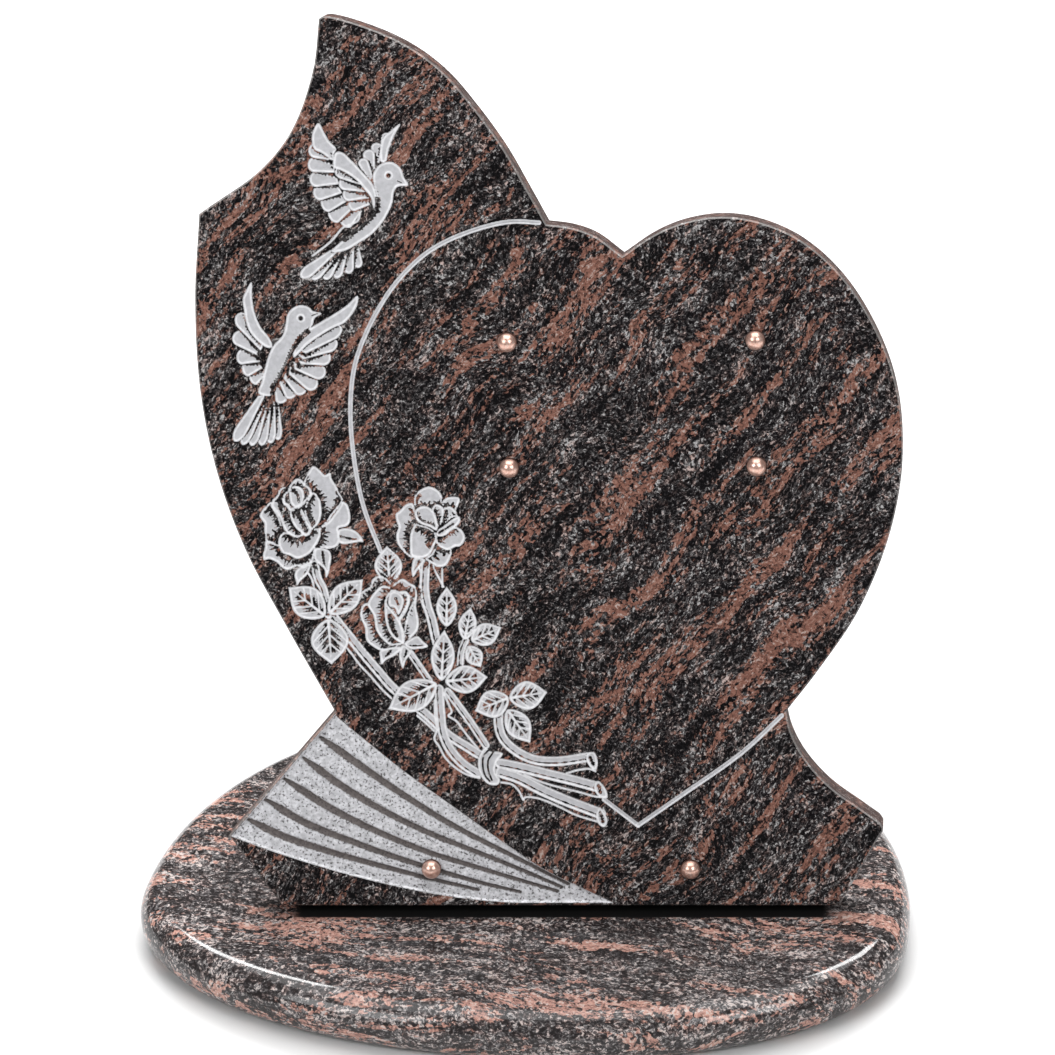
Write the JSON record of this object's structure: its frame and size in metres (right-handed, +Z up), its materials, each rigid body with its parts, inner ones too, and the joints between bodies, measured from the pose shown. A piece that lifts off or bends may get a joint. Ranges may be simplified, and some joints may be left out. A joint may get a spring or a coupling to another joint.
{
  "type": "heart funeral plaque",
  "caption": "Leaning granite grave plaque with a heart and leaf outline, sandblasted doves, roses and fan, copper studs, on an oval base.",
  "frame": {"origin": "middle of the oval base's underside, which is the bottom centre of the whole plaque's box", "axes": "+Z up, +X to the right as seen from the front, -Y towards the viewer; the slab leans back towards +Y by 20 degrees"},
  "size_m": [0.3516, 0.2738, 0.407],
  "materials": {
    "granite": "polished multicolour granite, black and dark grey with pink-brown drifts; sandblasted silver grey where it is engraved",
    "copper_plate": "polished copper or rose gold plating on brass",
    "steel": "satin stainless steel"
  },
  "bodies": {
    "root": {"base": "granite", "slab": "granite", "stud_heart_upper_left": "copper_plate", "stud_heart_upper_right": "copper_plate", "stud_heart_lower_left": "copper_plate", "stud_heart_lower_right": "copper_plate", "stud_foot_left": "copper_plate", "stud_foot_right": "copper_plate", "bracket_left": "steel", "bracket_right": "steel"}
  },
  "joints": []
}
